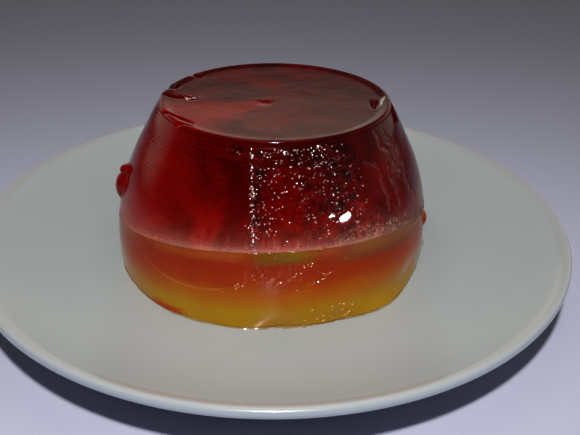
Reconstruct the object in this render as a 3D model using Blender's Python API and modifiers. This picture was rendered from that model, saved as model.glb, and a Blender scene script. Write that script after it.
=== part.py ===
"""A two-layer moulded jelly, red over amber, turned out onto its round coupe plate.

Metres, +Z up. The plate is centred on the Z axis and its foot ring stands on z = 0.
The jelly's layers meet at a plane that leans, because the mould stood at a slant while it set.
"""

import math

import bmesh
import bpy
from mathutils import Matrix, Vector

MM = 0.001
GAP = 0.3 * MM

# Plate
PLATE_RADIUS = 130 * MM
PLATE_STEPS = 88
WELL_DEPTH = 16.0 * MM
WELL_RADIUS = 72 * MM
FLOOR_THICKNESS = 5.5 * MM
FOOT_HEIGHT = 3 * MM
FOOT_RADIUS = 74 * MM
FOOT_WIDTH = 5 * MM
RIM_ROUND = 2.0 * MM
FLOOR_Z = FOOT_HEIGHT + FLOOR_THICKNESS
RIM_Z = FLOOR_Z + WELL_DEPTH

# Jelly
JELLY_HEIGHT = 70.5 * MM
JELLY_STEPS = 72
JELLY_X = -1.1 * MM
JELLY_Y = -1.0 * MM
JELLY_LEAN = 1.7 * MM
JELLY_Z = FLOOR_Z + GAP
TOP_RADIUS = 46.6 * MM
BEAD_WIDTH = 3.2 * MM
TOP_SINK = 1.0 * MM
TOP_GROOVE = 0.7 * MM
# Wall radius at heights from the foot up to where the top's edge starts to round over.
WALL = [(0, 67.6), (6, 68.0), (14, 68.2), (25, 67.0), (36, 64.8), (47, 60.6), (58, 54.9), (66, 50.6), (69, 48.6)]
WALL_ROWS = 15

# The plane where the layers meet, above the jelly's foot on its axis
SEAM_HEIGHT = 20.6 * MM
SEAM_SLOPE = math.radians(11.4)
SEAM_HIGH_SIDE = math.radians(-80)

# Where the foot spreads or draws in: azimuth, angular width, amount
FOOT_SWELLS = [(-48, 14, 2.2), (-66, 10, -1.2), (-86, 9, -1.9), (-127, 10, 0.9), (35, 25, 0.9), (120, 30, -0.8)]
FOOT_FADE = 12 * MM
WAIST_AZIMUTH = -31
WAIST_WIDTH = 9
WAIST_HEIGHT = 7 * MM
WAIST_DEPTH = 1.2 * MM

# Cuts in the top: azimuth and radius of the middle, heading, length, width, depth
TEARS = [
    ("slit_left", 179, 41.2, -15, 18, 4.0, 2.6),
    ("slit_front_left", 210.6, 45.2, 109, 20, 2.2, 2.6),
    ("slit_front", 222, 47.0, 111, 9, 1.6, 2.0),
    ("notch_left", 164.7, 46.6, 70, 9, 5.0, 2.4),
    ("notch_back_left", 142, 46.0, 20, 8, 3.4, 3.2),
    ("pit_right", 351, 41.7, 100, 12, 4.5, 2.8),
]

# Swellings on the outside: azimuth, height, how deep set, half sizes outward, sideways and up
BLOBS = {
    "red": [("bead", -168, 42.5, -0.9, 2.6, 2.6, 2.4), ("bulge", -168, 35.0, 1.0, 4.2, 5.0, 6.5)],
    "amber": [("flap", -14, 21.5, 2.2, 3.7, 3.2, 4.6)],
}

LOOKS = {
    "plate": ((0.62, 0.65, 0.64), 0.12, 0.0),
    "jelly_red": ((0.24, 0.004, 0.004), 0.08, 0.6),
    "jelly_amber": ((0.62, 0.22, 0.02), 0.08, 0.6),
}


def clear_scene():
    for thing in list(bpy.data.objects):
        bpy.data.objects.remove(thing, do_unlink=True)


def new_collection(name, hidden=False):
    group = bpy.data.collections.new(name)
    group.hide_render = hidden
    bpy.context.scene.collection.children.link(group)
    return group


def material(name):
    colour, roughness, transmission = LOOKS[name]
    made = bpy.data.materials.new(name)
    made.use_nodes = True
    shader = made.node_tree.nodes["Principled BSDF"]
    shader.inputs["Base Color"].default_value = (*colour, 1)
    shader.inputs["Roughness"].default_value = roughness
    shader.inputs["Metallic"].default_value = 0
    shader.inputs["Transmission Weight"].default_value = transmission
    return made


def add_object(name, mesh, group):
    thing = bpy.data.objects.new(name, mesh)
    group.objects.link(thing)
    return thing


def shade_round(mesh, angle=40):
    mesh.shade_smooth()
    mesh.set_sharp_from_angle(angle=math.radians(angle))


def arc(centre_r, centre_z, radius, start, end, count):
    """Points on a circle in the (radius, height) plane, angles in degrees from outward."""
    points = []
    for i in range(count + 1):
        angle = math.radians(start + (end - start) * i / count)
        points.append((centre_r + radius * math.cos(angle), centre_z + radius * math.sin(angle)))
    return points


def turned(name, outline, steps, group):
    """An outline of (radius, height) points, from the top centre down to the bottom centre, spun round Z."""
    mesh = bpy.data.meshes.new(name)
    edges = [(i, i + 1) for i in range(len(outline) - 1)]
    mesh.from_pydata([(r, 0, z) for r, z in outline], edges, [])
    thing = add_object(name, mesh, group)
    spin = thing.modifiers.new("Turn", "SCREW")
    spin.steps = steps
    spin.render_steps = steps
    spin.use_merge_vertices = True
    spin.merge_threshold = 0.00001
    spin.use_smooth_shade = True
    return thing


def plate_outline():
    """Flat well, a wall that rises ever more steeply, a rolled rim, and a foot ring below."""
    wall_span = PLATE_RADIUS - 2 * RIM_ROUND - WELL_RADIUS
    wall_rise = WELL_DEPTH - 0.35 * RIM_ROUND
    inside = [(0, FLOOR_Z), (WELL_RADIUS * 0.5, FLOOR_Z), (WELL_RADIUS, FLOOR_Z)]
    for i in range(1, 8):
        t = i / 7
        inside.append((WELL_RADIUS + wall_span * t, FLOOR_Z + wall_rise * t ** 1.9))
    rim = arc(PLATE_RADIUS - RIM_ROUND, RIM_Z - RIM_ROUND, RIM_ROUND, 105, -75, 7)
    outer_foot = FOOT_RADIUS + FOOT_WIDTH / 2
    inner_foot = FOOT_RADIUS - FOOT_WIDTH / 2
    underside = []
    for i in range(1, 6):
        t = 1 - i / 6
        span = PLATE_RADIUS - RIM_ROUND - outer_foot
        rise = RIM_Z - 2 * RIM_ROUND - FOOT_HEIGHT
        underside.append((outer_foot + span * t, FOOT_HEIGHT + rise * t ** 1.9))
    edge = 0.8 * MM
    foot = [
        (outer_foot, FOOT_HEIGHT * 0.8),
        (outer_foot - edge / 2, edge),
        (outer_foot - edge, 0),
        (inner_foot + edge, 0),
        (inner_foot, edge),
        (inner_foot - edge, FOOT_HEIGHT),
        (0, FOOT_HEIGHT),
    ]
    return inside + rim + underside + foot


def make_plate(group):
    plate = turned("plate", plate_outline(), PLATE_STEPS, group)
    plate.data.materials.append(material("plate"))
    return plate


def wall_radius(height):
    """Smooth curve through WALL, in metres, by cubic Hermite pieces."""
    z = min(max(height / MM, WALL[0][0]), WALL[-1][0])
    last = len(WALL) - 2
    i = min(last, max(k for k in range(last + 1) if WALL[k][0] <= z))
    (z0, r0), (z1, r1) = WALL[i], WALL[i + 1]

    def slope(k):
        low, high = max(k - 1, 0), min(k + 1, len(WALL) - 1)
        return (WALL[high][1] - WALL[low][1]) / (WALL[high][0] - WALL[low][0])

    span = z1 - z0
    t = (z - z0) / span
    start = (1 + 2 * t) * (1 - t) ** 2 * r0 + t * (1 - t) ** 2 * span * slope(i)
    end = t * t * (3 - 2 * t) * r1 + t * t * (t - 1) * span * slope(i + 1)
    return (start + end) * MM


def jelly_outline():
    """Sunken top with a low bead along its edge, and the moulded wall down to a flat foot."""
    groove_radius = TOP_RADIUS - BEAD_WIDTH
    groove_z = JELLY_HEIGHT - TOP_GROOVE
    top = []
    for i in range(5):
        t = i / 4
        top.append((groove_radius * t, groove_z - TOP_SINK * (1 - t * t)))
    wall_top = WALL[-1][0] * MM
    edge_radius = JELLY_HEIGHT - wall_top
    bead = [(TOP_RADIUS - 0.5 * BEAD_WIDTH, JELLY_HEIGHT - 0.15 * TOP_GROOVE)]
    bead += arc(wall_radius(wall_top) - edge_radius, wall_top, edge_radius, 80, 15, 3)
    wall = []
    for i in range(WALL_ROWS + 1):
        height = wall_top * (1 - i / WALL_ROWS)
        wall.append((wall_radius(height), height))
    return top + bead + wall + [(0, 0)]


def bell(angle, centre, width):
    away = (angle - centre + 180) % 360 - 180
    return math.exp(-((away / width) ** 2))


def uneven(point):
    """Spreads the foot, draws in the waist and leans the whole, as a soft body does when it is turned out."""
    radius = math.hypot(point.x, point.y)
    azimuth = math.degrees(math.atan2(point.y, point.x))
    foot = max(0, 1 - point.z / FOOT_FADE) ** 2
    spread = sum(amount * bell(azimuth, middle, width) for middle, width, amount in FOOT_SWELLS) * MM
    waist = math.exp(-(((point.z - WAIST_HEIGHT) / (0.8 * WAIST_HEIGHT)) ** 2))
    grown = foot * spread - WAIST_DEPTH * waist * bell(azimuth, WAIST_AZIMUTH, WAIST_WIDTH)
    # Only the wall moves: the change fades out towards the axis.
    scale = 1 + grown / WALL[0][1] / MM * min(1, radius / (0.9 * WALL[0][1] * MM)) ** 4
    lean = JELLY_LEAN * point.z / JELLY_HEIGHT
    return Vector((point.x * scale + JELLY_X + lean, point.y * scale + JELLY_Y, point.z + JELLY_Z))


def jelly_mesh(cutters):
    """The whole jelly as one uneven mesh, before it is parted into layers."""
    blank = turned("jelly_blank", jelly_outline(), JELLY_STEPS, cutters)
    graph = bpy.context.evaluated_depsgraph_get()
    mesh = bpy.data.meshes.new_from_object(blank.evaluated_get(graph))
    bpy.data.objects.remove(blank, do_unlink=True)
    for vertex in mesh.vertices:
        vertex.co = uneven(vertex.co)
    mesh.name = "jelly"
    return mesh


def place_cutter(thing):
    thing.hide_render = True
    thing.display_type = "WIRE"
    return thing


def seam_box(name, side, cutters):
    """A large block whose face is the seam plane. side is 1 for the block above it and -1 for the one below."""
    size = 4 * WALL[0][1] * MM
    mesh = bpy.data.meshes.new(name)
    cube = bmesh.new()
    bmesh.ops.create_cube(cube, size=size)
    bmesh.ops.translate(cube, verts=cube.verts, vec=(0, 0, side * (size / 2 - GAP / 2)))
    cube.to_mesh(mesh)
    cube.free()
    block = place_cutter(add_object(name, mesh, cutters))
    across = Vector((-math.sin(SEAM_HIGH_SIDE), math.cos(SEAM_HIGH_SIDE), 0))
    block.matrix_world = (
        Matrix.Translation((JELLY_X, JELLY_Y, JELLY_Z + SEAM_HEIGHT)) @ Matrix.Rotation(-SEAM_SLOPE, 4, across)
    )
    return block


def ball_mesh(name, half_sizes):
    mesh = bpy.data.meshes.new(name)
    ball = bmesh.new()
    bmesh.ops.create_icosphere(ball, subdivisions=2, radius=1, matrix=Matrix.Diagonal((*half_sizes, 1)))
    ball.to_mesh(mesh)
    ball.free()
    return mesh


def tear_cutter(tear, cutters):
    """A long pointed pod laid in the top's surface, which leaves a slit or a notch."""
    name, azimuth, radius, heading, length, width, depth = tear
    mesh = ball_mesh(name, (length / 2 * MM, width / 2 * MM, depth * MM))
    pod = place_cutter(add_object(name, mesh, cutters))
    angle = math.radians(azimuth)
    pod.location = (
        JELLY_X + JELLY_LEAN + radius * MM * math.cos(angle),
        JELLY_Y + radius * MM * math.sin(angle),
        JELLY_Z + JELLY_HEIGHT - 0.3 * MM,
    )
    pod.rotation_euler = (0, 0, angle + math.radians(heading))
    return pod


def dimple_cutter(cutters):
    """The small round mark that the mould leaves in the top."""
    mesh = ball_mesh("dimple", (2.9 * MM, 2.9 * MM, 1.3 * MM))
    ball = place_cutter(add_object("dimple", mesh, cutters))
    ball.location = (JELLY_X + JELLY_LEAN - 3.7 * MM, JELLY_Y - 2.8 * MM, JELLY_Z + JELLY_HEIGHT - 1.4 * MM)
    return ball


def blob(part, cutters):
    """A small swelling that joins the wall."""
    name, azimuth, height, inset, outward, sideways, up = part
    mesh = ball_mesh(name, (outward * MM, sideways * MM, up * MM))
    ball = place_cutter(add_object(name, mesh, cutters))
    angle = math.radians(azimuth)
    reach = wall_radius(height * MM) - inset * MM
    lean = JELLY_LEAN * height * MM / JELLY_HEIGHT
    ball.location = (
        JELLY_X + lean + reach * math.cos(angle),
        JELLY_Y + reach * math.sin(angle),
        JELLY_Z + height * MM,
    )
    ball.rotation_euler = (0, 0, angle)
    return ball


def boolean(target, tool, operation):
    step = target.modifiers.new(tool.name, "BOOLEAN")
    step.operation = operation
    step.object = tool
    step.solver = "EXACT"


def make_layer(name, mesh, side, tears, blobs, group, cutters):
    layer = add_object(name, mesh.copy(), group)
    layer.data.materials.clear()
    layer.data.materials.append(material(name))
    for part in blobs:
        boolean(layer, blob(part, cutters), "UNION")
    boolean(layer, seam_box(name + "_seam", side, cutters), "DIFFERENCE")
    for tool in tears:
        boolean(layer, tool, "DIFFERENCE")
    shade_round(layer.data)
    return layer


def main():
    clear_scene()
    parts = new_collection("moulded_jelly_on_plate")
    cutters = new_collection("cutters", hidden=True)
    make_plate(parts)
    body = jelly_mesh(cutters)
    tears = [tear_cutter(tear, cutters) for tear in TEARS] + [dimple_cutter(cutters)]
    make_layer("jelly_red", body, -1, tears, BLOBS["red"], parts, cutters)
    make_layer("jelly_amber", body, 1, [], BLOBS["amber"], parts, cutters)
    bpy.data.meshes.remove(body)


main()
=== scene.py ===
import math

import bmesh
import bpy
import numpy as np
from mathutils import Matrix, Vector, noise


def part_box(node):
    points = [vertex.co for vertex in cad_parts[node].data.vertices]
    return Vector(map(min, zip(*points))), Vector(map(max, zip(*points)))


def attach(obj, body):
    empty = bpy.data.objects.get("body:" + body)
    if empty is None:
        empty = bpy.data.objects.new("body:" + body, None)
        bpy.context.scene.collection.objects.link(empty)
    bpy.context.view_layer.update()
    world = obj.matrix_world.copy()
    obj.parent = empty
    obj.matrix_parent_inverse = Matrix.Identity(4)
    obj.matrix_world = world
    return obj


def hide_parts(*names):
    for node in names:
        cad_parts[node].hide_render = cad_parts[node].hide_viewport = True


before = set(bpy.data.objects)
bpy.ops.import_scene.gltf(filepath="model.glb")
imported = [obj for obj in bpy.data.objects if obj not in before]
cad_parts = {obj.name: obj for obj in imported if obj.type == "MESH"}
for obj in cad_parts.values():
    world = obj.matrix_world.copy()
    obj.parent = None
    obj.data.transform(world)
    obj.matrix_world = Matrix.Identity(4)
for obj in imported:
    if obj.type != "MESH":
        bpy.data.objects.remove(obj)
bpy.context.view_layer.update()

mm = 0.001
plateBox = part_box("plate")
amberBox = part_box("jelly_amber")
gapLeft = 0.3 * mm    # the solids keep this much apart where the real things touch

# shape of the whole jelly, lengths in mm, heights counted from its foot, azimuths in degrees
jelly = {
    "centreX": -1.1,
    "centreY": -1.0,
    "lean": 1.7,    # how far the top stands to the right of the foot
    "height": 70.5,
    "topRadius": 46.6,
    "beadWidth": 3.2,
    "topSink": 1.0,
    "topGroove": 0.7,
    "footRound": 1.3,
    "wall": [    # height and radius, from the foot up
        (0, 67.6), (6, 68.0), (14, 68.2), (25, 67.0), (36, 64.8),
        (47, 60.6), (58, 54.9), (66, 50.6), (69, 48.6),
    ],
    "seamHeight": 20.6,
    "seamSlope": 11.4,    # degrees
    "seamHighSide": -80,
    "footSwells": [    # azimuth, width in degrees, mm outward
        (-48, 14, 2.2), (-66, 10, -1.2), (-86, 9, -1.9), (-127, 10, 0.9), (35, 25, 0.9), (120, 30, -0.8),
    ],
    "footFade": 12,
    "waist": (-31, 9, 7, 1.2),    # azimuth, width in degrees, height, mm inward
    "beadLength": 3.5,    # along the skin, over the bead
    "rimLength": 15,    # and from there over the torn part of the top
    "redRows": 104,
    "amberRows": 92,
    "columns": 560,
    "fineSide": -75,    # the columns stand closest together here
    "topSlack": 0.1,    # nothing on the skin stands higher than this over the top
}
footZ = amberBox[0][2] - gapLeft    # the plate's floor, which the jelly really touches


def say(text):
    print("jelly scene:", text, flush=True)


def bell(angle, centre, width):
    away = (angle - centre + 180) % 360 - 180
    return np.exp(-((away / width) ** 2))


def hump(value, centre, width):
    return np.exp(-(((value - centre) / width) ** 2))


def ease(value, low, high):
    t = np.clip((value - low) / (high - low), 0, 1)
    return t * t * (3 - 2 * t)


def grain(points, scale, octaves=3, seed=0.0, stretch=(1, 1, 1)):
    # smooth noise from -1 to 1 at each point, scale in repeats per mm
    placed = points * np.array(stretch) * scale + seed
    return np.array([noise.fractal(Vector(p), 0.6, 2.0, octaves) for p in placed.tolist()])


def nearLine(x, y, line):
    # distance from each point to a bent line in the plane
    best = np.full(x.shape, 1e9)
    for (ax, ay), (bx, by) in zip(line, line[1:]):
        dx, dy = bx - ax, by - ay
        t = np.clip(((x - ax) * dx + (y - ay) * dy) / (dx * dx + dy * dy), 0, 1)
        best = np.minimum(best, np.hypot(x - ax - t * dx, y - ay - t * dy))
    return best


def polar(azimuth, radius):
    return radius * math.cos(math.radians(azimuth)), radius * math.sin(math.radians(azimuth))


def addObject(name, data):
    made = bpy.data.objects.new(name, data)
    bpy.context.scene.collection.objects.link(made)
    return made


def makeObject(name, points, faces, material, smooth=True):
    mesh = bpy.data.meshes.new(name)
    mesh.from_pydata(points, [], faces)
    mesh.materials.append(material)
    if smooth:
        mesh.shade_smooth()
    return addObject(name, mesh)


def ringFaces(rings, columns, turned=False, closed=False):
    # four-sided faces from each ring of points to the next; closed joins the last ring to the first
    ring = np.arange(rings if closed else rings - 1)[:, None]
    side = np.arange(columns)[None, :]
    here = ring * columns
    there = (ring + 1) % rings * columns
    beside = (side + 1) % columns
    corners = [here + side, here + beside, there + beside, there + side]
    if turned:
        corners = corners[:1] + corners[:0:-1]
    return np.stack(corners, axis=-1).reshape(-1, 4).tolist()


class Pin:
    # an output socket whose sums, products and so on become Math nodes
    def __init__(self, graph, socket):
        self.graph = graph
        self.socket = socket

    def math(self, kind, *values):
        return self.graph.node("ShaderNodeMath", {"operation": kind}, list(values))

    def __add__(self, other):
        return self.math("ADD", self, other)

    def __radd__(self, other):
        return self.math("ADD", other, self)

    def __sub__(self, other):
        return self.math("SUBTRACT", self, other)

    def __rsub__(self, other):
        return self.math("SUBTRACT", other, self)

    def __mul__(self, other):
        return self.math("MULTIPLY", self, other)

    def __rmul__(self, other):
        return self.math("MULTIPLY", other, self)

    def __truediv__(self, other):
        return self.math("DIVIDE", self, other)

    def __abs__(self):
        return self.math("ABSOLUTE", self)

    def __pow__(self, other):
        return self.math("POWER", self, other)

    def most(self, other):
        return self.math("MAXIMUM", self, other)

    def least(self, other):
        return self.math("MINIMUM", self, other)

    def ramp(self, low, high, start=0.0, end=1.0):
        settings = {"interpolation_type": "SMOOTHSTEP"}
        return self.graph.node("ShaderNodeMapRange", settings, [self, low, high, start, end])

    def between(self, start, full, fade, end):
        # rises from start to full, and falls again from fade to end
        return self.ramp(start, full) * (1 - self.ramp(fade, end))


class Graph:
    # the nodes of one material or of the world
    def __init__(self, owner):
        self.owner = owner
        owner.use_nodes = True
        self.tree = owner.node_tree
        self.tree.nodes.clear()

    def feed(self, socket, value):
        if isinstance(value, Pin):
            self.tree.links.new(value.socket, socket)
        elif isinstance(value, (tuple, list)) and len(value) == 3 and socket.type == "RGBA":
            socket.default_value = (*value, 1)
        else:
            socket.default_value = value

    # settings are set first, then sockets by place in a list or by name in a dictionary
    def node(self, kind, settings=None, values=(), out=0):
        made = self.tree.nodes.new(kind)
        for name, value in (settings or {}).items():
            if name == "stops":
                self.setStops(made.color_ramp, value)
            else:
                setattr(made, name, value)
        for key, value in values.items() if isinstance(values, dict) else enumerate(values):
            if value is not None:
                self.feed(made.inputs[key], value)
        return Pin(self, made.outputs[out])

    def setStops(self, ramp, stops):
        while len(ramp.elements) < len(stops):
            ramp.elements.new(1)
        for element, (place, colour) in zip(ramp.elements, stops):
            element.position = place
            element.color = (*colour, 1)

    def place(self):
        return self.node("ShaderNodeTexCoord", out="Object")

    def split(self, vector):
        made = self.node("ShaderNodeSeparateXYZ", values=[vector]).socket.node
        return [Pin(self, socket) for socket in made.outputs]

    def join(self, x, y, z):
        return self.node("ShaderNodeCombineXYZ", values=[x, y, z])

    def mask(self, name):
        return self.node("ShaderNodeAttribute", {"attribute_name": name}, out="Fac")

    def noise(self, vector, scale, detail=3.0, rough=0.55, warp=0.0):
        values = {"Vector": vector, "Scale": scale, "Detail": detail, "Roughness": rough, "Distortion": warp}
        return self.node("ShaderNodeTexNoise", values=values)

    def spots(self, vector, scale):
        return self.node("ShaderNodeTexVoronoi", values={"Vector": vector, "Scale": scale}, out="Distance")

    def blend(self, factor, first, second, kind="MIX"):
        made = self.node("ShaderNodeMix", {"data_type": "RGBA", "blend_type": kind}).socket.node
        for place, value in ((0, factor), (6, first), (7, second)):
            self.feed(made.inputs[place], value)
        return Pin(self, made.outputs[2])

    def darken(self, colour, amount):
        return self.blend(1.0, colour, self.join(amount, amount, amount), "MULTIPLY")

    def bump(self, height, strength, distance, normal=None):
        values = {"Strength": strength, "Distance": distance, "Height": height, "Normal": normal}
        return self.node("ShaderNodeBump", values=values)

    def principled(self, **values):
        names = {name.replace("_", " "): value for name, value in values.items()}
        return self.node("ShaderNodeBsdfPrincipled", values=names)

    def mixShader(self, factor, first, second):
        return self.node("ShaderNodeMixShader", values=[factor, first, second])

    def finish(self, surface, kind="ShaderNodeOutputMaterial"):
        output = self.tree.nodes.new(kind)
        self.feed(output.inputs["Surface"], surface)
        return self.owner


def newGraph(name):
    return Graph(bpy.data.materials.new(name))


def wallTable():
    # smooth curve through the wall's radii, sampled finely
    keys = np.array(jelly["wall"], float)
    slopes = np.gradient(keys[:, 1], keys[:, 0])
    heights = np.linspace(keys[0, 0], keys[-1, 0], 300)
    piece = np.clip(np.searchsorted(keys[:, 0], heights, side="right") - 1, 0, len(keys) - 2)
    z0, z1 = keys[piece, 0], keys[piece + 1, 0]
    r0, r1 = keys[piece, 1], keys[piece + 1, 1]
    span = z1 - z0
    t = (heights - z0) / span
    start = (1 + 2 * t) * (1 - t) ** 2 * r0 + t * (1 - t) ** 2 * span * slopes[piece]
    end = t * t * (3 - 2 * t) * r1 + t * t * (t - 1) * span * slopes[piece + 1]
    return heights, start + end


wallHeights, wallRadii = wallTable()


def outlineTable():
    # radius and height from the foot's edge, up the wall, over the bead and in to the middle of the top
    corner = jelly["footRound"]
    turn = np.radians(np.linspace(-80, 0, 10))
    footRadius = np.interp(corner, wallHeights, wallRadii)
    parts = [np.c_[footRadius - corner * (1 - np.cos(turn)), corner * (1 + np.sin(turn))]]
    upper = wallHeights > corner
    parts.append(np.c_[wallRadii[upper], wallHeights[upper]])
    wallTop = wallHeights[-1]
    edge = jelly["height"] - wallTop
    turn = np.radians(np.linspace(4, 84, 14))
    parts.append(np.c_[wallRadii[-1] - edge * (1 - np.cos(turn)), wallTop + edge * np.sin(turn)])
    groove = jelly["topRadius"] - jelly["beadWidth"]
    grooveZ = jelly["height"] - jelly["topGroove"]
    t = np.linspace(0, 1, 12)[1:]
    lastR, lastZ = parts[-1][-1]
    parts.append(np.c_[lastR + (groove - lastR) * t, lastZ + (grooveZ - lastZ) * (t * t * (3 - 2 * t))])
    t = np.linspace(1, 0, 60)[1:]
    parts.append(np.c_[groove * t, grooveZ - jelly["topSink"] * (1 - t * t)])
    return np.concatenate(parts)


outline = outlineTable()
steps = np.hypot(*np.diff(outline, axis=0).T)
lengths = np.concatenate([[0], np.cumsum(steps)])
tangents = np.gradient(outline, lengths, axis=0)
wallEnd = lengths[np.argmax(outline[:, 1] >= wallHeights[-1])]


def azimuthColumns(count):
    # closer together on the scarred side
    dense = np.linspace(-180, 180, 2001)
    weight = 1 + 1.7 * bell(dense, jelly["fineSide"], 42)
    total = np.concatenate([[0], np.cumsum((weight[1:] + weight[:-1]) / 2)])
    return np.interp(np.arange(count) / count * total[-1], total, dense)


def seamHeightAt(azimuth, radius):
    slope = math.tan(math.radians(jelly["seamSlope"]))
    return jelly["seamHeight"] + slope * radius * np.cos(np.radians(azimuth - jelly["seamHighSide"]))


def seamLengths(azimuths):
    # how far up the outline the seam crosses it, at each azimuth
    height = np.full(azimuths.shape, jelly["seamHeight"], float)
    for _ in range(8):
        height = seamHeightAt(azimuths, np.interp(height, wallHeights, wallRadii))
    rising = lengths <= wallEnd
    return np.interp(height, outline[rising, 1], lengths[rising])


def onWall(azimuth, height, outward=0.0):
    # a point in the frame that lies on the jelly's wall
    radius = float(np.interp(height, wallHeights, wallRadii)) + outward
    return spotAt(*polar(azimuth, radius), height)


def placed(points):
    # leans and places points, and turns them from mm on the jelly into metres in the frame
    lean = jelly["lean"] * points[:, 2] / jelly["height"]
    x = (points[:, 0] + jelly["centreX"] + lean) * mm
    y = (points[:, 1] + jelly["centreY"]) * mm
    return np.c_[x, y, points[:, 2] * mm + footZ]


def spotAt(x, y, height):
    # one point of the jelly, placed in the frame
    return Vector(placed(np.array([[x, y, height]]))[0].tolist())


# scars of the skin, azimuths in degrees, heights and lengths in mm
scars = {
    "roughLeft": -98.0,
    "roughRight": -55.0,
    "roughTop": 69.0,
    "roughDepth": 0.26,
    "roughColumn": (-97, 2.2),    # the densest strip, azimuth and width
    "roughPatch": (-66, 9, 52, 12),    # a dense patch, azimuth and width, height and width
    "roughGap": (-89, 6),    # a smoother strip
    "roughCrown": (-104, 7, 67, 1.6),    # a rough stretch under the rim
    "unevenDepth": 0.22,
    "ridgeDepth": 0.035,
    "ridgeSpacing": 1.25,
    "frostAbove": 3.8,
    "frostDepth": 0.22,
    "frostRight": (-64, -52, 30, 60),    # the frost is coarser between these azimuths
    "cuts": [    # azimuth, radius, heading, length, width, depth
        (179, 41.2, -15, 18, 4.0, 2.6),
        (210.6, 45.2, 109, 20, 2.2, 2.6),
        (222, 47.0, 111, 9, 1.6, 2.0),
        (164.7, 46.6, 70, 9, 5.0, 2.4),
        (142, 46.0, 20, 8, 3.4, 3.2),
        (351, 41.7, 100, 12, 4.5, 2.8),
    ],
    "cutInward": 0.45,    # the way that the cuts run into the jelly
    "cutDown": 0.89,
    "dimple": (-3.7, -2.8, 3.3, 0.8),    # x, y, radius, depth
    "swellings": [    # azimuth, height, inset, outward, half width, half height
        (-168, 42.5, -0.9, 2.6, 2.6, 2.4), (-168, 35, 1.0, 4.2, 5.0, 6.5), (-14, 21.5, 2.2, 3.7, 3.2, 4.6),
    ],
    "facets": [    # chips: azimuth, height, half width, half height
        (-64.4, 43.2, 4.2, 2.6), (-69.6, 44.7, 2.4, 0.9), (-66.5, 50, 0.9, 0.6), (-68, 49.2, 0.7, 0.4),
        (-63.5, 52.5, 0.7, 0.5), (-71, 56, 0.5, 1.0), (-86, 66, 0.4, 0.9), (-87.3, 63.8, 0.4, 1.1),
        (-88.6, 61.2, 0.5, 0.9), (-75.6, 63.5, 0.4, 1.2), (-76.5, 61.2, 0.6, 1.5), (-77, 58.8, 0.4, 0.8),
        (-91, 50, 0.5, 0.6), (-95, 57, 0.5, 0.4), (-84, 48, 0.4, 0.6),
    ],
    "facetLight": (0.0, -0.34, 0.47),    # metres: the chips and bubbles turn halfway between the key light
    "facetEye": (0.0, -0.298, 0.184),    # and the camera's place, so that they glint in the front view
    "bow": [(-70, 42), (-69.2, 39), (-66.5, 36.7), (-63.4, 36.5), (-61.6, 38.4)],    # round the big chip
    "bowHeight": 0.30,
    "bowWidth": 0.45,
    "creaseDepth": 0.33,
    "creaseWidth": 0.8,
    "creases": [    # bent lines of azimuth and height
        [(-40, 67), (-35, 60), (-32, 52), (-29, 44)],
        [(-33, 66), (-28, 57), (-27, 50), (-29, 42)],
        [(-50, 60), (-45, 53), (-43, 47), (-45, 42)],
        [(-56, 46), (-51, 40), (-53, 34)],
        [(-27, 40), (-26, 33), (-28, 27)],
        [(-60, 39), (-57, 36), (-50, 35), (-44, 37)],
        [(-38, 55), (-36, 47), (-38, 40)],
    ],
}


def above(azimuth, height, radius):
    return height - seamHeightAt(azimuth, radius)


def roughMask(azimuth, height, radius, wander):
    over = above(azimuth, height, radius)
    left = ease(azimuth + 2.2 * wander, scars["roughLeft"] - 1.5, scars["roughLeft"] + 1.0)
    rightEdge = scars["roughRight"] + 12 * ease(50 - height, 0, 10)
    right = 1 - ease(azimuth + 5 * wander, rightEdge - 4, rightEdge + 4)
    top = 1 - ease(height + 2.0 * wander, scars["roughTop"] - 3, scars["roughTop"] + 1)
    body = left * right * top * ease(over, -0.5, 3)
    side, width, level, tall = scars["roughPatch"]
    dense = 0.50 + 0.50 * bell(azimuth, *scars["roughColumn"])
    dense = dense + 0.4 * bell(azimuth, side, width) * hump(height, level, tall)
    dense = dense - 0.42 * bell(azimuth, *scars["roughGap"]) * (1 - 0.5 * hump(height, 64, 3))
    side, width, level, tall = scars["roughCrown"]
    crown = bell(azimuth, side, width) * hump(height, level, tall) * 0.8
    below = 0.35 * ease(azimuth, -106, -98) * (1 - ease(azimuth, -74, -66)) * ease(height, 18, 24)
    return np.clip(np.maximum(body * dense, crown) + below * (over < 0), 0, 1)


def creaseMask(azimuth, height):
    # wrinkles as thin bent lines; a degree is about a millimetre round the wall
    degree = 1.02
    found = np.zeros(azimuth.shape)
    for line in scars["creases"]:
        away = nearLine(azimuth * degree, height, [(a * degree, h) for a, h in line])
        found = np.maximum(found, np.exp(-((away / scars["creaseWidth"]) ** 2)))
    return found


def frostMask(over, streaks):
    # the frosted band where the layers meet, with streaks that reach up into the red
    reach = scars["frostAbove"] * (1 + 0.35 * streaks)
    return ease(over, -0.9, 0.1) * np.exp(-np.maximum(over, 0) / reach)


def glintAim(spot):
    # the direction halfway between the key light and the camera's place, from a point of the skin
    light = (Vector(scars["facetLight"]) - spot).normalized()
    eye = (Vector(scars["facetEye"]) - spot).normalized()
    return (light + eye).normalized()


def facetSlopes(azimuth, height):
    # how much a chip's face must tilt to throw the key light at the camera's place
    r0, r1 = np.interp([height - 1, height + 1], wallHeights, wallRadii)
    rise = math.atan2(r0 - r1, 2)
    turn = math.radians(azimuth)
    outward = Vector((math.cos(turn) * math.cos(rise), math.sin(turn) * math.cos(rise), math.sin(rise)))
    sideways = Vector((-math.sin(turn), math.cos(turn), 0))
    upward = outward.cross(sideways)
    aim = glintAim(onWall(azimuth, height))
    return -aim.dot(sideways) / aim.dot(outward), -aim.dot(upward) / aim.dot(outward)


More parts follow.
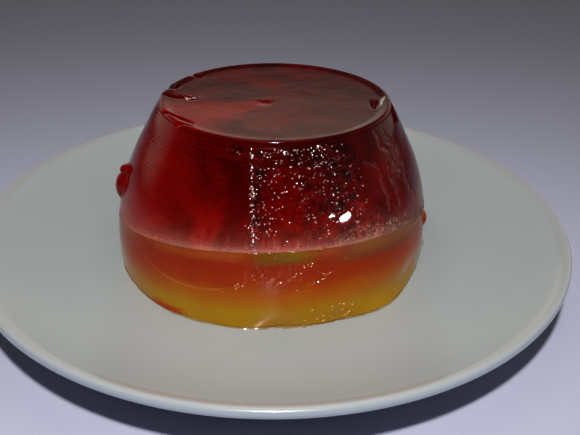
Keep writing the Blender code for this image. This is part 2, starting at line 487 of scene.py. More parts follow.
def reliefAt(azimuth, height, radius, along, flat):
    # how far the surface stands out from the outline, in mm, and the masks that go with it
    wander = grain(flat, 0.12, 3, 4.1)
    fine = grain(flat, 1.15, 3, 9.7)
    lumpy = grain(flat, 0.34, 2, 2.3)
    streaks = grain(flat, 0.9, 2, 6.5, (1, 1, 0.12))
    onSide = 1 - ease(along, wallEnd - 0.5, wallEnd + 2)
    over = above(azimuth, height, radius)
    rough = roughMask(azimuth, height, radius, wander) * onSide
    crease = creaseMask(azimuth + 3 * wander, height + 2 * streaks) * onSide
    frost = frostMask(over, streaks) * onSide

    out = scars["unevenDepth"] * grain(flat, 0.045, 2, 1.7) * onSide
    smoothLeft = 0.35 + 0.65 * bell(azimuth, -135, 42)
    ridges = np.sin(2 * math.pi * height / scars["ridgeSpacing"] + 1.5 * wander)
    out += scars["ridgeDepth"] * ridges * smoothLeft * (1 - rough) * onSide * ease(over, 1, 5)
    steep = 1 + 1.3 * ease(azimuth, -92, -62)
    upper = ease(height, 57, 64)
    pattern = (1 - 0.4 * upper) * (1.3 * lumpy + 0.5 * fine) + 0.5 * upper * streaks
    out += rough * scars["roughDepth"] * steep * pattern
    out += 0.04 * bell(azimuth, -88, 10) * hump(height, 63.5, 4.5) * streaks * onSide
    out -= crease * scars["creaseDepth"]
    out += frost * (scars["frostDepth"] * (0.6 + 0.5 * streaks) + 0.12 * fine)
    start, full, fade, end = scars["frostRight"]
    rightFrost = frost * ease(azimuth, start, full) * (1 - ease(azimuth, fade, end))
    out += rightFrost * (0.10 * fine + 0.22 * streaks)
    top = ease(along, wallEnd + 2, wallEnd + 6)
    out += top * (0.012 * grain(flat, 0.22, 3, 8.1) + 0.05 * grain(flat, 0.035, 2, 5.1))
    for middle, level, halfWidth, halfHeight in scars["facets"]:
        side = (azimuth - middle) * math.pi / 180 * radius
        up = height - level
        ragged = np.clip(1 + 0.8 * lumpy + 0.4 * fine, 0.6, 1.7)
        inside = np.exp(-((((side / halfWidth) ** 2 + (up / halfHeight) ** 2) * ragged) ** 4))
        sideways, upward = facetSlopes(middle, level)
        rough = rough * (1 - inside)
        out = out * (1 - inside) + inside * (sideways * side + upward * up + side ** 2 / (2 * radius))
    bow = nearLine(azimuth, height, scars["bow"])
    out += scars["bowHeight"] * np.exp(-((bow / scars["bowWidth"]) ** 2)) * onSide
    return out, {"rough": rough, "crease": crease, "frost": frost}


def swell(radius, azimuth, height):
    # lumps that stand out from the wall
    for middle, level, inset, outward, sideways, up in scars["swellings"]:
        away = (azimuth - middle + 180) % 360 - 180
        side = radius * np.sin(np.radians(away))
        inside = 1 - (side / sideways) ** 2 - ((height - level) / up) ** 2
        base = float(np.interp(level, wallHeights, wallRadii)) - inset
        reach = base + outward * np.sqrt(np.maximum(inside, 0))
        near = (inside > 0) & (np.abs(away) < 60)
        radius = np.where(near, np.maximum(radius, reach), radius)
    return radius


def cutInto(points):
    # pushes the surface out of each pod-shaped tear, along a line that runs in and down
    jitter = 1 + 0.16 * grain(points, 0.55, 2, 3.3)
    for azimuth, radius, heading, length, width, depth in scars["cuts"]:
        x, y = polar(azimuth, radius)
        cos, sin = polar(azimuth + heading, 1)
        axes = np.array([[cos, sin, 0], [-sin, cos, 0], [0, 0, 1]])
        sizes = np.array([length / 2, width / 2, depth])
        local = (points - np.array([x, y, jelly["height"] - 0.3])) @ axes.T / sizes / jitter[:, None]
        inward = np.array([*polar(azimuth, -scars["cutInward"]), -scars["cutDown"]])
        heading3 = (axes @ inward) / sizes
        b = local @ heading3
        c = (local ** 2).sum(1) - 1
        a = (heading3 ** 2).sum()
        hit = c < 0
        travel = np.where(hit, (-b + np.sqrt(np.maximum(b * b - a * c, 0))) / a, 0)
        points = points + travel[:, None] * inward
    x, y, wide, deep = scars["dimple"]
    inside = 1 - ((points[:, 0] - x) ** 2 + (points[:, 1] - y) ** 2) / wide ** 2
    sunk = jelly["height"] - 1.4 - deep * np.sqrt(np.maximum(inside, 0))
    pressed = (inside > 0) & (points[:, 2] > 60)
    points[:, 2] = np.where(pressed, np.minimum(points[:, 2], sunk), points[:, 2])
    return points


def settle(points):
    # spreads the foot and draws in the waist, as a soft body does when it is turned out
    radius = np.hypot(points[:, 0], points[:, 1])
    azimuth = np.degrees(np.arctan2(points[:, 1], points[:, 0]))
    foot = np.clip(1 - points[:, 2] / jelly["footFade"], 0, 1) ** 2
    spread = sum(amount * bell(azimuth, middle, width) for middle, width, amount in jelly["footSwells"])
    middle, width, level, depth = jelly["waist"]
    waist = np.exp(-(((points[:, 2] - level) / (0.8 * level)) ** 2))
    grown = foot * spread - depth * waist * bell(azimuth, middle, width)
    base = jelly["wall"][0][1]
    scale = 1 + grown / base * np.minimum(1, radius / (0.9 * base)) ** 4
    return points * np.c_[scale, scale, np.ones(len(points))]


def layerMesh(name, rows, azimuths, lowCap, highCap, material, capMaterial):
    # a closed skin from rows of lengths along the outline; a cap is the height of its middle, or None
    azimuth = np.broadcast_to(azimuths, rows.shape).ravel()
    along = rows.ravel()
    radius = np.interp(along, lengths, outline[:, 0])
    height = np.interp(along, lengths, outline[:, 1])
    leanR = np.interp(along, lengths, tangents[:, 0])
    leanZ = np.interp(along, lengths, tangents[:, 1])
    turn = np.radians(azimuth)
    flat = np.c_[radius * np.cos(turn), radius * np.sin(turn), height]
    out, masks = reliefAt(azimuth, height, radius, along, flat)
    radius = radius + out * leanZ
    height = height - out * leanR
    radius = swell(radius, azimuth, height)
    points = np.c_[radius * np.cos(turn), radius * np.sin(turn), height]
    points = settle(cutInto(points))
    points[:, 2] = np.minimum(points[:, 2], jelly["height"] + jelly["topSlack"])

    count, columns = rows.shape
    faces = ringFaces(count, columns)
    extra = []
    caps = []
    if lowCap is not None:
        middle = len(points) + len(extra)
        extra.append((0, 0, lowCap))
        caps += [(middle, (i + 1) % columns, i) for i in range(columns)]
    if highCap is not None:
        middle = len(points) + len(extra)
        extra.append((0, 0, highCap))
        last = (count - 1) * columns
        caps += [(middle, last + i, last + (i + 1) % columns) for i in range(columns)]
    allPoints = placed(np.concatenate([points, np.array(extra)]) if extra else points)
    made = makeObject(name, allPoints.tolist(), faces + caps, material)
    mesh = made.data
    if capMaterial is not None:
        mesh.materials.append(capMaterial)
    for mask, values in masks.items():
        attribute = mesh.attributes.new(mask, "FLOAT", "POINT")
        attribute.data.foreach_set("value", np.concatenate([values, np.zeros(len(extra))]).astype(np.float32))
    return made, len(faces)


def jellyPlace(g):
    # azimuth and height of each shaded point, and the height of the seam plane there, in degrees and mm
    x, y, z = g.split(g.place())
    height = (z - footZ) / mm
    across = x / mm - jelly["centreX"] - height * (jelly["lean"] / jelly["height"])
    deep = y / mm - jelly["centreY"]
    azimuth = g.node("ShaderNodeMath", {"operation": "ARCTAN2"}, [deep, across]) * (180 / math.pi)
    high = math.radians(jelly["seamHighSide"])
    slope = math.tan(math.radians(jelly["seamSlope"]))
    seam = (across * math.cos(high) + deep * math.sin(high)) * slope + jelly["seamHeight"]
    return azimuth, height, seam


redFinish = {
    "clear": (0.62, 0.004, 0.002),
    "clearLow": (0.85, 0.010, 0.003),
    "cloudy": (0.42, 0.0010, 0.0006),
    "cloudyLow": (0.66, 0.0030, 0.0010),
    "cloudyLeft": (0.70, 0.0022, 0.0008),
    "cloudyRight": (0.085, 0.0042, 0.0035),
    # pale tint on the wrinkles: a painted sheen along the folds, on top of their real grooves
    "crease": (0.30, 0.16, 0.17),
    "worms": (0.40, 0.31, 0.24),    # pale squiggles above the seam
    "frost": (0.86, 0.40, 0.29),
    "frostRight": (0.26, 0.15, 0.08),
    "rightSide": (-66, -30, 40, 100),    # azimuths where it starts, is full, fades and ends
    "leftSide": (-179, -160, -142, -118),
    "wormSide": (-74, -62, -38, -26),
    "wormBand": (-1, 1, 4, 9),    # mm above the seam
    "cloudShare": 0.18,    # 0 is clear, 1 is milky
    "roughness": 0.06,
    "refraction": 1.36,
}


def redMaterial():
    g = newGraph("red jelly")
    azimuth, height, seam = jellyPlace(g)
    over = height - seam
    rough = g.mask("rough")
    crease = g.mask("crease")
    frost = g.mask("frost")
    place = g.place()
    cloud = g.noise(place, 60, 3)
    fine = g.noise(place, 1300, 3, 0.65)
    specks = g.spots(place, 950)
    worms = 1 - abs(g.noise(place, 330, 2, 0.5, 1.4) - 0.5).ramp(0.0, 0.045)
    mottle = g.noise(place, 48, 3, 0.6, 0.4)
    streak = g.noise(g.join(azimuth * 1.1, height * 0.10, 0), 2.6, 3, 0.6)
    low = 1 - over.ramp(2, 26)
    dark = mottle.ramp(0.36, 0.62, 0.38, 1.0) * (1 - height.ramp(46, 66) * 0.45)
    right = azimuth.between(*redFinish["rightSide"])
    left = azimuth.between(*redFinish["leftSide"])
    clear = g.blend(low, redFinish["clear"], redFinish["clearLow"])
    cloudy = g.blend(low * cloud.ramp(0.25, 0.75, 0.5, 1.0), redFinish["cloudy"], redFinish["cloudyLow"])
    cloudy = g.darken(cloudy, dark)
    clear = g.darken(clear, dark)
    patch = g.noise(place, 170, 3, 0.6, 1.2).ramp(0.40, 0.58, 0.12, 1.25)
    patch = 1 - rough * (1 - patch)
    cloudy = g.darken(cloudy, patch)
    clear = g.darken(clear, patch)
    cloudy = g.blend(right * 0.85, cloudy, redFinish["cloudyRight"])
    cloudy = g.blend(left * 0.7, cloudy, redFinish["cloudyLeft"])
    clear = g.blend(left * 0.6, clear, redFinish["clearLow"])
    # painted sheen: the wrinkles get a pale greyish-pink tint and a milkier share
    cloudy = g.blend(crease * 0.25, cloudy, redFinish["crease"])
    frostColour = g.blend(right, redFinish["frost"], redFinish["frostRight"])
    hairs = frost * streak.ramp(0.35, 0.65, 0.55, 1.0) * fine.ramp(0.3, 0.6, 0.7, 1.0)
    cloudy = g.blend(hairs, cloudy, frostColour)
    worms = worms * over.between(*redFinish["wormBand"]) * azimuth.between(*redFinish["wormSide"])
    cloudy = g.blend(worms * 0.8, cloudy, redFinish["worms"])
    clear = g.blend(frost * 0.7, clear, frostColour)
    spark = rough * specks.ramp(0.55, 0.25)
    tall = g.noise(place, 700, 4, 0.6) + fine * 0.5
    pits = specks ** 2 * g.noise(place, 330, 1).ramp(0.47, 0.56)
    normal = g.bump(tall, 0.012 + rough * 0.06 + frost * 0.25, 0.0006)
    normal = g.bump(pits, rough.ramp(0.25, 0.9), 0.0009, normal)
    wet = redFinish["roughness"] - rough * 0.02 + frost * 0.30 + cloud * 0.03
    bend = redFinish["refraction"]
    glassy = g.principled(Base_Color=clear, Roughness=wet, IOR=bend, Transmission_Weight=1.0, Normal=normal)
    milky = g.principled(Base_Color=cloudy, Roughness=wet, IOR=bend, Normal=normal)
    share = redFinish["cloudShare"] + frost * 0.40 - rough * 0.08 + crease * 0.15
    share = share + worms * 0.4 + right * 0.15 - spark * 0.1
    return g.finish(g.mixShader(share.least(0.95), glassy, milky))


amberFinish = {
    "foot": (1.0, 0.56, 0.010),    # four colours from the foot up to the seam; the redder, darker ones higher up are painted shade, for light that reaches the lower layer through the red
    "amber": (0.98, 0.295, 0.002),
    "orange": (0.75, 0.088, 0.001),
    "under": (0.57, 0.037, 0.001),
    "olive": (0.34, 0.19, 0.03),
    "green": (0.24, 0.20, 0.008),
    "flush": (0.85, 0.045, 0.002),
    "arc": (1.0, 0.62, 0.20),
    "ledge": (0.23, 0.125, 0.045),
    "patchSide": (-100, -92, -84, -70),    # azimuths where it starts, is full, fades and ends
    "ledgeSide": (-78, -60, -34, -16),
    "flushSide": (-136, -131, -123, -117),
    "arcSide": (-140, -132, -110, -100),
    "arcBottom": (-119, 15.5),    # azimuth and height
    "cloudShare": 0.32,    # 0 is clear, 1 is milky
    "roughness": 0.03,
    "refraction": 1.36,
    "specular": 0.34,
}


def amberMaterial():
    g = newGraph("amber jelly")
    azimuth, height, seam = jellyPlace(g)
    over = height - seam
    place = g.place()
    cloud = g.noise(place, 70, 4)
    fine = g.noise(place, 1100, 3, 0.6)
    level = height / seam + (cloud - 0.5) * 0.22
    # painted shade: from the foot up to the seam the colour darkens and reddens, as light there comes through
    # the red layer
    ramp = [
        (0.0, amberFinish["foot"]),
        (0.24, amberFinish["foot"]),
        (0.42, amberFinish["amber"]),
        (0.62, amberFinish["orange"]),
        (0.90, amberFinish["under"]),
    ]
    colour = g.node("ShaderNodeValToRGB", {"stops": ramp}, [level], "Color")
    line = over.ramp(-6.0, -1.0) * cloud.ramp(0.30, 0.62, 0.35, 1.0)
    patch = azimuth.between(*amberFinish["patchSide"]) * over.ramp(-6.5, -3.5)
    patch = patch * fine.ramp(0.25, 0.6, 0.6, 1.0)
    colour = g.blend(line * 0.5, colour, amberFinish["olive"])
    colour = g.blend(patch * 0.8, colour, amberFinish["green"])
    ledge = azimuth.between(*amberFinish["ledgeSide"]) * over.ramp(-9, -5) * fine.ramp(0.25, 0.6, 0.7, 1.0)
    colour = g.blend(ledge * 0.7, colour, amberFinish["ledge"])
    flush = azimuth.between(*amberFinish["flushSide"]) * (1 - height.ramp(1.5, 4.5))
    colour = g.blend(flush * fine.ramp(0.3, 0.5), colour, amberFinish["flush"])
    middle, bottom = amberFinish["arcBottom"]
    bow = bottom + (azimuth - middle) * (azimuth - middle) * 0.0115
    arc = (1 - abs(height - bow).ramp(0.1, 0.7)) * azimuth.between(*amberFinish["arcSide"])
    colour = g.blend(arc * 0.22, colour, amberFinish["arc"])
    pits = g.spots(place, 1000) ** 2 * g.noise(place, 330, 1).ramp(0.48, 0.56)
    normal = g.bump(g.noise(place, 500, 3) + fine * 0.4, 0.012, 0.0006)
    normal = g.bump(pits, g.mask("rough"), 0.0008, normal)
    wet = amberFinish["roughness"] + cloud * 0.02
    same = {
        "Base_Color": colour,
        "Roughness": wet,
        "IOR": amberFinish["refraction"],
        "Specular_IOR_Level": amberFinish["specular"],
        "Normal": normal,
    }
    glassy = g.principled(**same, Transmission_Weight=1.0)
    milky = g.principled(**same)
    share = amberFinish["cloudShare"] + line * 0.25 + arc * 0.05 + ledge * 0.15
    return g.finish(g.mixShader(share, glassy, milky))


def seamMaterial():
    # the layers meet here with nothing between them, so light goes straight through
    g = newGraph("layer joint")
    return g.finish(g.node("ShaderNodeBsdfTransparent"))


redJelly = redMaterial()
amberJelly = amberMaterial()
layerJoint = seamMaterial()
say("finishes made")

azimuths = azimuthColumns(jelly["columns"])
seamStart = seamLengths(azimuths)


def makeRed():
    wall = seamStart + (wallEnd - seamStart) * np.linspace(0, 1, jelly["redRows"])[:, None]
    bead = np.linspace(wallEnd, wallEnd + jelly["beadLength"], 11)[1:]
    rim = np.linspace(bead[-1], bead[-1] + jelly["rimLength"], 31)[1:]
    middle = lengths[-1] - (lengths[-1] - rim[-1]) * (1 - np.linspace(0, 1, 22)[1:-1])
    rest = np.concatenate([bead, rim, middle])
    rows = np.concatenate([wall, np.repeat(rest[:, None], len(azimuths), axis=1)])
    top = float(np.interp(lengths[-1], lengths, outline[:, 1]))
    made, sides = layerMesh("redLayer", rows, azimuths, jelly["seamHeight"], top, redJelly, layerJoint)
    for face in made.data.polygons[sides:sides + len(azimuths)]:    # the cap on the seam
        face.material_index = 1
        face.use_smooth = False
    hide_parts("jelly_red")
    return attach(made, "root")


def makeAmber():
    rows = seamStart * np.linspace(0, 1, jelly["amberRows"])[:, None]
    foot = -0.15    # the foot reaches this far into the plate, so that no air shows under it
    made, sides = layerMesh("amberLayer", rows, azimuths, foot, jelly["seamHeight"], amberJelly, layerJoint)
    mesh = made.data
    for vertex in mesh.vertices[:len(azimuths)]:
        vertex.co.z = footZ + foot * mm
    for face in mesh.polygons[sides + len(azimuths):]:    # the cap on the seam
        face.material_index = 1
        face.use_smooth = False
    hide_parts("jelly_amber")
    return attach(made, "root")


for layer in (makeRed(), makeAmber()):
    say(layer.name + " made, " + str(len(layer.data.polygons)) + " faces")


plate = {
    "radius": plateBox[1].x / mm,
    "wellDepth": 16.0,
    "wellRadius": 72,
    "floorThickness": 5.5,
    "footHeight": 3,
    "footRadius": 74,
    "footWidth": 5,
    "rimRound": 2.0,
    "columns": 360,
    "glaze": (0.385, 0.412, 0.405),
    "glazeDeep": (0.355, 0.386, 0.383),
    "specks": (0.38, 0.36, 0.33),
    "rim": (0.40, 0.41, 0.40),
    # bluish painted shade for the rim's outer edge and for every face that turns downward
    "edge": (0.345, 0.385, 0.43),
    "foot": (0.55, 0.50, 0.44),
    "syrupRing": (72, 90),    # the well is wet up to here, mm from the middle
    "roughness": 0.24,
    "poolDepth": 0.10,
    "poolRing": (112, 14),    # radius and width of the ring where the glaze pools
}


def plateOutline():
    floorZ = plate["footHeight"] + plate["floorThickness"]
    rimZ = floorZ + plate["wellDepth"]
    rimRound = plate["rimRound"]
    span = plate["radius"] - 2 * rimRound - plate["wellRadius"]
    rise = plate["wellDepth"] - 0.35 * rimRound
    points = [(r, floorZ) for r in (0.01, 30, 52, 60, 66, 70)]
    points += [(plate["wellRadius"] + span * t, floorZ + rise * t ** 1.9) for t in np.linspace(0, 1, 34)]
    for angle in np.radians(np.linspace(105, -75, 22)):
        r = plate["radius"] - rimRound + rimRound * math.cos(angle)
        points.append((r, rimZ - rimRound + rimRound * math.sin(angle)))
    outer = plate["footRadius"] + plate["footWidth"] / 2
    inner = plate["footRadius"] - plate["footWidth"] / 2
    low = plate["footHeight"]
    for t in np.linspace(1, 0, 30)[1:-1]:
        reach = outer + (plate["radius"] - rimRound - outer) * t
        points.append((reach, low + (rimZ - 2 * rimRound - low) * t ** 1.9))
    points += [(outer, low * 0.8), (outer - 0.15, 1.4), (outer - 0.4, 0.8), (outer - 0.55, 0.3)]
    points.append((outer - 0.8, 0))
    points += [(inner + 0.8, 0), (inner + 0.3, 0.25), (inner, 0.8), (inner - 0.3, 2.2), (inner - 0.8, low)]
    points += [(r, low) for r in (64, 50, 30, 0.01)]
    return np.array(points)


def plateMaterial():
    g = newGraph("plate glaze")
    place = g.place()
    x, y, z = g.split(place)
    radius = (x * x + y * y) ** 0.5 / mm
    cloud = g.noise(place, 22, 4)
    specks = g.spots(place, 520)
    fine = g.noise(place, 900, 2)
    tint = g.blend(cloud.ramp(0.35, 0.65) * 0.25, plate["glaze"], plate["glazeDeep"])
    tint = g.blend((1 - specks.ramp(0.02, 0.10)) * 0.10, tint, plate["specks"])
    inside = radius.ramp(plate["radius"] - 6.5, plate["radius"] - 4.6)
    tint = g.blend(inside, tint, plate["rim"])
    shadedEdge = radius.ramp(plate["radius"] - 1.0, plate["radius"] - 0.35)
    facing = g.split(g.node("ShaderNodeNewGeometry", out="Normal"))[2]
    # painted shade: bluish on the rim's outer edge and on the faces that turn downward
    tint = g.blend(shadedEdge.most(1 - facing.ramp(-0.4, 0.1)), tint, plate["edge"])
    standing = 1 - (z / mm).ramp(0.15, 0.5)
    tint = g.blend(standing, tint, plate["foot"])
    syrup = (1 - radius.ramp(*plate["syrupRing"])) * cloud.ramp(0.25, 0.5, 0.75, 1.0)
    normal = g.bump(g.noise(place, 45, 3) + fine * 0.02, 0.06, 0.0012)
    wet = plate["roughness"] + standing * 0.5 + fine * 0.04
    coat = syrup.most(inside) * 0.9
    ware = {"Base_Color": tint, "Roughness": wet, "IOR": 1.5, "Specular_IOR_Level": 0.3, "Normal": normal}
    return g.finish(g.principled(**ware, Coat_Weight=coat, Coat_Roughness=0.07))


def makePlate():
    profile = plateOutline()
    columns = plate["columns"]
    turn = np.linspace(0, 2 * math.pi, columns, endpoint=False)
    count = len(profile)
    radius = np.repeat(profile[:, 0], columns)
    height = np.repeat(profile[:, 1], columns)
    angle = np.tile(turn, count)
    # the glaze pools a little unevenly, and only ever sinks, so that the plate keeps its size
    waves = 1 + np.sin(3 * angle + 1.1) * np.sin(5 * angle)
    pool = plate["poolDepth"] * waves * hump(radius, *plate["poolRing"])
    points = np.c_[radius * np.cos(angle), radius * np.sin(angle), height - pool * (height > 9)] * mm
    faces = ringFaces(count, columns, turned=True)
    faces += [list(range(columns)), list(range(count * columns - 1, (count - 1) * columns - 1, -1))]
    made = makeObject("glazedPlate", points.tolist(), faces, plateMaterial())
    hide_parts("plate")
    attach(made, "root")


makePlate()
say("plate made")

# the torn strip of skin at the rim, mm on the jelly
flap = {
    "path": [
        (41.8, -14, 68.4), (43.4, -9, 69.4), (44.9, -3.5, 69.6), (47.0, 0.3, 69.2),
        (48.7, -4, 68.0), (49.4, -10, 66.6), (50.0, -15, 65.2),
    ],
    "width": 2.3,
    "thickness": 0.42,
    "curl": 0.35,
    "sides": 20,
    "slack": 0.25,    # it stands no higher than this over the top
}


def smoothPath(points, count):
    # Catmull-Rom curve through a few points
    points = np.array(points, float)
    padded = np.concatenate([points[:1] * 2 - points[1:2], points, points[-1:] * 2 - points[-2:-1]])
    found = []
    for t in np.linspace(0, len(points) - 1.0001, count):
        i = int(t)
        u = t - i
        a, b, c, d = padded[i:i + 4]
        bent = (2 * a - 5 * b + 4 * c - d) * u ** 2 + (3 * b - a - 3 * c + d) * u ** 3
        found.append(0.5 * (2 * b + (c - a) * u + bent))
    return np.array(found)


def makeFlap():
    # a torn strip of skin that curls over the rim
    path = smoothPath(flap["path"], 60)
    forward = np.gradient(path, axis=0)
    forward /= np.linalg.norm(forward, axis=1)[:, None]
    t = np.linspace(0, 1, len(path))
    taper = np.sin(np.pi * np.clip(t * 0.94 + 0.04, 0, 1)) ** 0.55
    outward = path * np.array([1, 1, 0])
    outward /= np.linalg.norm(outward, axis=1)[:, None]
    twist = np.radians(20 + 70 * t)[:, None]
    normal = outward * np.sin(twist) + np.array([0, 0, 1]) * np.cos(twist)
    across = np.cross(forward, normal)
    across /= np.linalg.norm(across, axis=1)[:, None]
    normal = np.cross(across, forward)
    rings = []
    sides = flap["sides"]
    frill = 1 + 0.22 * np.sin(9 * t + 1.3) + 0.1 * np.sin(23 * t)
    for k in range(sides):
        angle = 2 * math.pi * k / sides
        curl = flap["curl"] * math.cos(angle) ** 2
        wide = flap["width"] * math.cos(angle) * taper * frill
        tall = (flap["thickness"] * math.sin(angle) + curl) * taper
        rings.append(path + across * wide[:, None] + normal * tall[:, None])
    points = np.stack(rings, axis=1).reshape(-1, 3)
    points += 0.10 * grain(points, 0.8, 2, 2.2)[:, None]
    points[:, 2] = np.minimum(points[:, 2], jelly["height"] + flap["slack"])
    faces = ringFaces(len(path), sides)
    faces.append(tuple(reversed(range(sides))))
    faces.append(tuple(range(len(points) - sides, len(points))))
    made = makeObject("tornFlap", placed(points).tolist(), faces, redJelly)
    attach(made, "root")


# the melted jelly round the foot, mm
film = {
    "height": 0.8,
    "reach": 0.55,
    "leastReach": 0.12,
    "mostReach": 3.2,
    "sunk": 0.12,    # its underside lies this far in the plate
    "columns": 720,
    "colour": (1.0, 0.80, 0.42),
    "colourDeep": (0.95, 0.55, 0.16),
    "refraction": 1.36,
}


def filmMaterial():
    g = newGraph("melted film")
    place = g.place()
    fine = g.noise(place, 900, 3)
    tint = g.blend(fine.ramp(0.3, 0.7), film["colour"], film["colourDeep"])
    normal = g.bump(g.noise(place, 420, 3), 0.25, 0.0005)
    same = {"Base_Color": tint, "IOR": film["refraction"], "Normal": normal}
    glassy = g.principled(**same, Roughness=0.05 + fine * 0.05, Transmission_Weight=1.0)
    milky = g.principled(**same, Roughness=0.10 + fine * 0.05)
    return g.finish(g.mixShader(0.12 + fine * 0.1, glassy, milky))


def makeFilm():
    # a thin ragged skirt where the jelly has begun to melt onto the plate
    columns = film["columns"]
    azimuth = np.linspace(-180, 180, columns, endpoint=False)
    turn = np.radians(azimuth)
    ring = np.c_[np.cos(turn), np.sin(turn), np.zeros(columns)]
    edge = ring * 68    # the foot's radius
    ragged = grain(edge, 0.16, 3, 5.5) + 0.6 * grain(edge, 0.6, 2, 1.5)
    front = bell(azimuth, -82, 12)
    reach = film["reach"] * (1 + 0.9 * ragged) + front * (1.0 + 0.9 * ragged) + 0.5 * bell(azimuth, -112, 9)
    reach = np.clip(reach, film["leastReach"], film["mostReach"])
    foot = float(np.interp(jelly["footRound"], wallHeights, wallRadii))
    rows = []
    for t in np.linspace(0, 1, 9):
        radius = foot - 0.9 + (reach + 0.5) * t
        lump = 0.16 * grain(edge + t, 0.9, 2, 3.1)
        swollen = 0.28 * math.sin(math.pi * min(t * 1.05, 1)) * (1 + 3 * lump)
        row = settle(ring * radius[:, None])
        row[:, 2] = film["height"] * (1 - t) ** 1.7 + swollen - 0.1 * t
        rows.append(row)
    inner, outer = (row * np.array([1, 1, 0]) - np.array([0, 0, film["sunk"]]) for row in (rows[0], rows[-1]))
    loops = [inner] + rows + [outer]
    faces = ringFaces(len(loops), columns, turned=True, closed=True)
    made = makeObject("meltedFilm", placed(np.concatenate(loops)).tolist(), faces, filmMaterial())
    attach(made, "root")


# the bubbles in the skin, azimuths in degrees, the rest in mm
bubbles = {
    "seed": 7,
    "outward": 0.1,    # their middles stand this far out of the wall
    "flatness": 0.22,
    "column": 80,    # how many stand in the column at the rough patch's left edge
    "underRim": 30,
    "lowRight": 44,
    "clusters": [    # azimuth, height, spread, count
        (-94, 58, 3, 16), (-95, 44, 3, 22), (-89, 50, 5, 20), (-87, 62, 4, 22), (-86, 38, 4, 16),
        (-80, 54, 5, 18), (-76, 62, 4, 24), (-70, 60, 4, 26), (-65, 64, 3, 14), (-64, 52, 4, 22),
        (-70, 46, 4, 14), (-60, 44, 3, 12), (-76, 40, 5, 12), (-82, 66, 3, 10), (-58, 56, 4, 10),
    ],
    "topLimit": 67.5,    # the clusters end below the rim
    "trails": [(-100.5, 20), (-73.5, 22.5), (-82, 25)],    # azimuth and height
    "trailCount": 15,
    "flapGlints": [(45.4, -2.6), (47.0, -3.3)],    # x and y of the two on the flap
    "redWall": [(0.75, 0.42, 0.40), (0.85, 0.70, 0.66)],
    "amberWall": [(0.72, 0.36, 0.08), (0.90, 0.66, 0.28)],
}


def bubbleMaterial(name, dull, bright):
    # a bubble's wall: mostly clear, and bright where it faces the light
    g = newGraph(name)
    place = g.place()
    tint = g.blend(g.noise(place, 900, 2), dull, bright)
    wet = 0.05 + g.noise(place, 400, 2) * 0.05
    shell = g.principled(Base_Color=tint, Roughness=wet, IOR=1.45)
    through = g.node("ShaderNodeBsdfTransparent", out="BSDF")
    share = g.noise(place, 260, 2).ramp(0.35, 0.62, 0.10, 0.48)
    return g.finish(g.mixShader(share, through, shell))


def redSpots(draw):
    # a column at the rough patch's left edge, clusters, a row under the rim, and a few in the left tear
    # and on the flap
    found = []
    outward = bubbles["outward"]
    for height in draw.uniform(33, 66, bubbles["column"]):
        azimuth = draw.normal(-99.3 + 0.12 * (64 - height), 0.45)
        found.append((onWall(azimuth, height, outward), draw.uniform(0.16, 0.30)))
    for azimuth, height, spread, count in bubbles["clusters"]:
        for _ in range(count):
            up = min(draw.normal(height, spread), bubbles["topLimit"])
            centre = onWall(draw.normal(azimuth, spread * 0.8), up, outward)
            found.append((centre, draw.uniform(0.12, 0.28)))
    for azimuth in draw.uniform(-112, -66, bubbles["underRim"]):
        centre = onWall(azimuth, draw.uniform(65.6, 68.2), outward)
        found.append((centre, draw.uniform(0.12, 0.22)))
    torn = [(x, y, 1.1, size) for x, y, size in draw.normal((-36.5, -0.2, 0.25), (2.2, 1.2, 0.05), (14, 3))]
    torn += [(*spot, 1.3, 0.75) for spot in bubbles["flapGlints"]]
    for x, y, down, size in torn:
        found.append((spotAt(x, y, jelly["height"] - down), size))
    return found


def amberSpots(draw):
    # bubbles low on the right, and three short trails below the seam
    found = []
    outward = bubbles["outward"]
    for _ in range(bubbles["lowRight"]):
        height = 9 * draw.beta(1.2, 2.2) + 0.8
        centre = onWall(draw.uniform(-84, -44), height, outward)
        found.append((centre, draw.uniform(0.16, 0.32)))
    for azimuth, height in bubbles["trails"]:
        for _ in range(bubbles["trailCount"]):
            slide = draw.normal(0, 3)
            centre = onWall(azimuth + slide, height + slide * 0.7 + draw.normal(0, 0.6), outward)
            found.append((centre, draw.uniform(0.16, 0.28)))
    return found


def makeBeads():
    # tiny bubbles that stand in the skin, each a flat drop
    draw = np.random.default_rng(bubbles["seed"])
    redWall = bubbleMaterial("red bubble wall", *bubbles["redWall"])
    amberWall = bubbleMaterial("amber bubble wall", *bubbles["amberWall"])
    for name, group, material, slot in (
        ("redBeads", redSpots(draw), redWall, "red_jelly"),
        ("amberBeads", amberSpots(draw), amberWall, "amber_jelly"),
    ):
        ball = bmesh.new()
        for centre, radius in group:
            facing = glintAim(centre) + Vector(draw.normal(0, 0.028, 3).tolist())
            spin = facing.to_track_quat("X", "Z").to_matrix().to_4x4()
            size = radius * mm
            wide = size * draw.uniform(0.9, 1.7)
            shape = Matrix.Diagonal((size * bubbles["flatness"], wide, size * draw.uniform(0.9, 1.6), 1))
            matrix = Matrix.Translation(centre) @ spin @ shape
            bmesh.ops.create_icosphere(ball, subdivisions=2, radius=1, matrix=matrix)
        mesh = bpy.data.meshes.new(name)
        ball.to_mesh(mesh)
        ball.free()
        mesh.materials.append(material)
        mesh.shade_smooth()
        made = addObject(name, mesh)
        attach(made, "root")


makeFlap()
makeFilm()
makeBeads()
say("small pieces made")

# table and lights, in metres and watts
studio = {
    "floorColour": (0.49, 0.49, 0.605),
    "floorMottle": (0.445, 0.455, 0.56),
    # painted shade for the far part of the table
    "floorFalloffShade": (0.20, 0.20, 0.25),
    "floorHalf": 3.0,
    "keyPower": 2.65,
    "keySize": 0.04,
    "keyPlace": scars["facetLight"],
    "fillPower": 0.5,
    "fillSize": 0.5,
    "fillPlace": (0.0, 0.22, 0.80),
    "bandLight": (0.51, 0.47, 0.40),
    "backLight": (0.060, 0.060, 0.064),
    "sideLight": (0.15, 0.145, 0.15),
    "frontLight": (0.014, 0.014, 0.018),
}


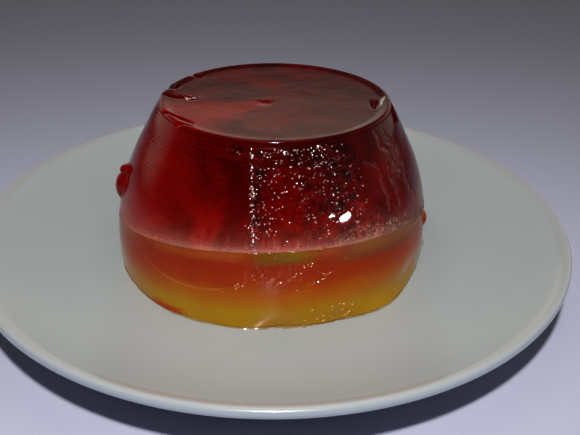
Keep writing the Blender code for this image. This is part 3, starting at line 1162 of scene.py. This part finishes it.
def makeFloor():
    g = newGraph("table")
    place = g.place()
    tint = g.blend(g.noise(place, 3, 3) * 0.2, studio["floorColour"], studio["floorMottle"])
    # painted shade: the table darkens towards the back, as light from the key falls off
    tint = g.blend(g.split(place)[1].ramp(-0.05, 0.45) * 0.45, tint, studio["floorFalloffShade"])
    normal = g.bump(g.noise(place, 160, 3), 0.03, 0.001)
    material = g.finish(g.principled(Base_Color=tint, Roughness=0.55, Normal=normal))
    half = studio["floorHalf"]
    corners = [(-half, -half, 0), (half, -half, 0), (half, half, 0), (-half, half, 0)]
    makeObject("table", corners, [(0, 1, 2, 3)], material, False)


def makeLight(name, place, size, power, target=(0, 0, 0.03)):
    light = bpy.data.lights.new(name, "AREA")
    light.shape = "DISK"
    light.size = size
    light.energy = power
    made = addObject(name, light)
    made.location = place
    made.rotation_euler = (Vector(target) - Vector(place)).to_track_quat("-Z", "Y").to_euler()


def makeWorld():
    world = bpy.data.worlds.new("studio")
    bpy.context.scene.world = world
    g = Graph(world)
    x, y, z = g.split(g.node("ShaderNodeTexCoord", out="Generated"))
    colour = g.blend(y.ramp(-0.3, 0.5), studio["frontLight"], studio["backLight"])
    side = x.ramp(0.25, 0.75) * z.between(-0.05, 0.1, 0.5, 0.8)
    colour = g.blend(side, colour, studio["sideLight"])
    band = y.ramp(0.1, 0.45) * z.between(-0.04, 0.06, 0.27, 0.42)
    colour = g.blend(band, colour, studio["bandLight"])
    g.finish(g.node("ShaderNodeBackground", values=[colour, 1.0]), "ShaderNodeOutputWorld")


# where the camera stands, in metres and radians
view = {
    "away": 0.29805,
    "high": 0.18392,
    "yaw": 0.02538,
    "pitch": 0.50129,
    "roll": 0.01779,
    "lens": 45.93,
}


def makeCamera():
    yaw, pitch, roll = view["yaw"], view["pitch"], view["roll"]
    forward = Vector((math.sin(yaw) * math.cos(pitch), math.cos(yaw) * math.cos(pitch), -math.sin(pitch)))
    right = Vector((math.cos(yaw), -math.sin(yaw), 0))
    up = right.cross(forward)
    side = math.cos(roll) * right + math.sin(roll) * up
    top = -math.sin(roll) * right + math.cos(roll) * up
    camera = bpy.data.cameras.new("camera")
    camera.lens = view["lens"]
    camera.clip_start = 0.01
    made = addObject("camera", camera)
    turned = Matrix((side, top, -forward)).transposed().to_4x4()
    made.matrix_world = Matrix.Translation((0, -view["away"], view["high"])) @ turned
    bpy.context.scene.camera = made


makeFloor()
makeLight("key", studio["keyPlace"], studio["keySize"], studio["keyPower"])
makeLight("fill", studio["fillPlace"], studio["fillSize"], studio["fillPower"])
makeWorld()
makeCamera()
bpy.context.scene.view_settings.view_transform = "Standard"
bpy.context.scene.view_settings.look = "Medium High Contrast"
say("stage made")

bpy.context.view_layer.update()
say("finished")
